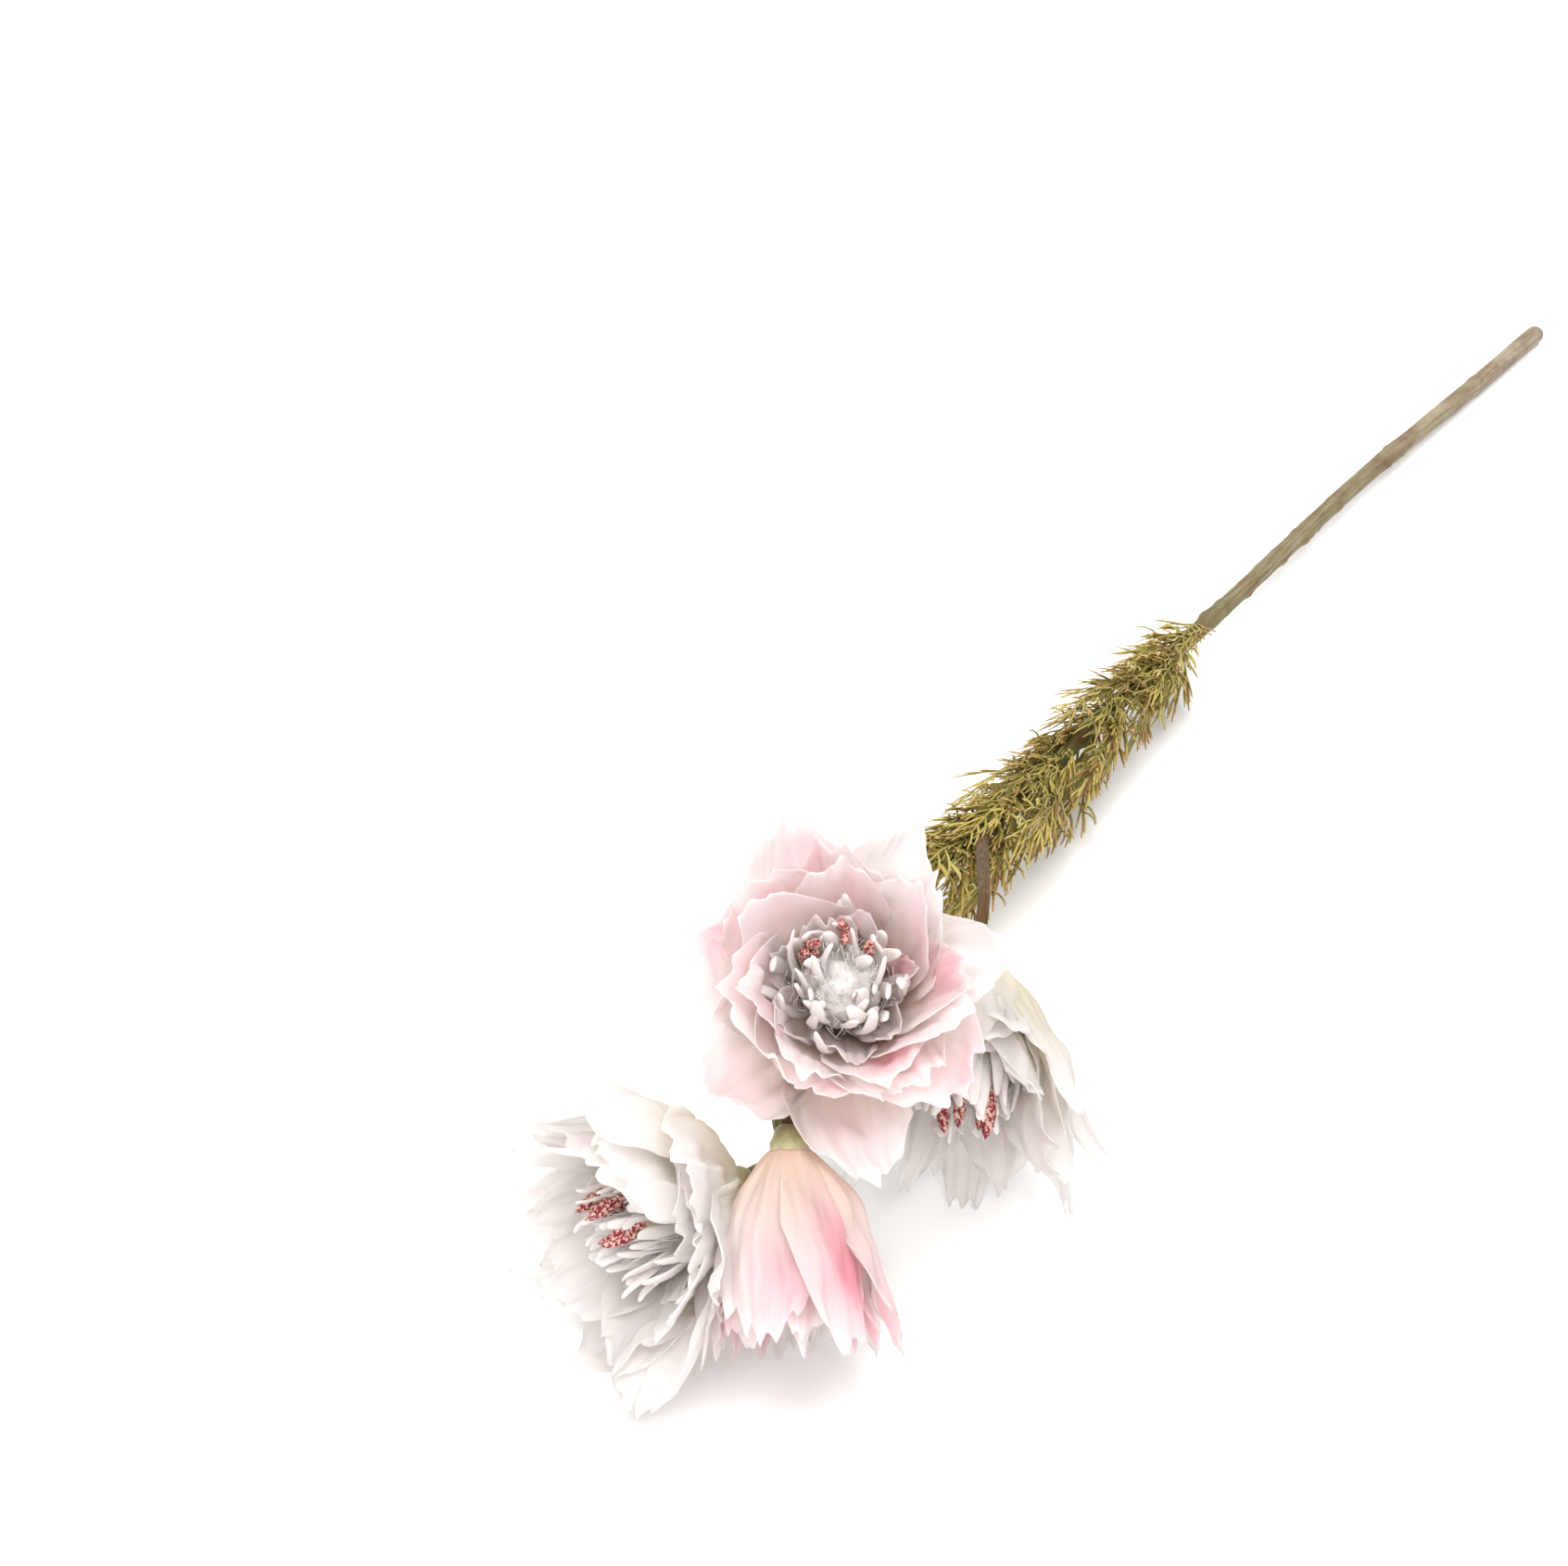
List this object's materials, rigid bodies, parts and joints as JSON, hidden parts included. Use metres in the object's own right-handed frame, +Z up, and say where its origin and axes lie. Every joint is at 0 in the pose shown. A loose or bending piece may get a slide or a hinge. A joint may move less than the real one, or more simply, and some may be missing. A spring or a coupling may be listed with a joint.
{
  "type": "cut protea spray",
  "caption": "Cut protea spray lying on its side: woody stem with needle leaves, branching to white and blush flower heads with layered papery bracts round a tuft of styles.",
  "frame": {"origin": "on the surface that the spray lies on, under the middle of its bounding box", "axes": "+Y along the stem from the flower heads to the cut end, +Z up"},
  "size_m": [0.0916, 0.4954, 0.0899],
  "materials": {
    "bark": "matt, brown to olive green bark",
    "needle_leaf": "satin, olive green needles with reddish brown tips",
    "calyx": "matt, pale green to cream",
    "white_bract": "silky, translucent, finely veined, cream at the foot",
    "blush_bract": "silky, translucent, finely veined, white with a pink blush",
    "floret": "matt, cream",
    "style": "matt, tan with dark red speckled tips"
  },
  "bodies": {
    "root": {"top_head_receptacle": "calyx", "top_head_outer_bract_1": "blush_bract", "top_head_outer_bract_2": "blush_bract", "top_head_outer_bract_3": "blush_bract", "top_head_outer_bract_4": "blush_bract", "top_head_outer_bract_5": "blush_bract", "top_head_outer_bract_6": "blush_bract", "top_head_outer_bract_7": "blush_bract", "top_head_middle_bracts": "blush_bract", "top_head_florets": "floret", "top_head_styles": "style", "left_head_receptacle": "calyx", "left_head_outer_bract_1": "white_bract", "left_head_outer_bract_2": "white_bract", "left_head_outer_bract_3": "white_bract", "left_head_outer_bract_4": "white_bract", "left_head_outer_bract_5": "white_bract", "left_head_outer_bract_6": "white_bract", "left_head_outer_bract_7": "white_bract", "left_head_middle_bracts": "white_bract", "left_head_florets": "floret", "left_head_styles": "style", "front_head_receptacle": "calyx", "front_head_outer_bract_1": "blush_bract", "front_head_outer_bract_2": "blush_bract", "front_head_outer_bract_3": "blush_bract", "front_head_outer_bract_4": "blush_bract", "front_head_outer_bract_5": "blush_bract", "front_head_outer_bract_6": "blush_bract", "front_head_outer_bract_7": "blush_bract", "front_head_middle_bracts": "blush_bract", "front_head_florets": "floret", "front_head_styles": "style", "right_head_receptacle": "calyx", "right_head_outer_bract_1": "white_bract", "right_head_outer_bract_2": "white_bract", "right_head_outer_bract_3": "white_bract", "right_head_outer_bract_4": "white_bract", "right_head_outer_bract_5": "white_bract", "right_head_outer_bract_6": "white_bract", "right_head_outer_bract_7": "white_bract", "right_head_middle_bracts": "white_bract", "right_head_florets": "floret", "right_head_styles": "style", "main_stem": "bark", "top_head_stalk": "bark", "front_head_stalk": "bark", "right_head_stalk": "bark", "leaf_1": "needle_leaf", "leaf_2": "needle_leaf", "leaf_3": "needle_leaf", "leaf_4": "needle_leaf", "leaf_5": "needle_leaf", "leaf_6": "needle_leaf", "leaf_7": "needle_leaf", "leaf_8": "needle_leaf", "leaf_9": "needle_leaf", "leaf_10": "needle_leaf", "leaf_11": "needle_leaf", "leaf_12": "needle_leaf"}
  },
  "joints": []
}
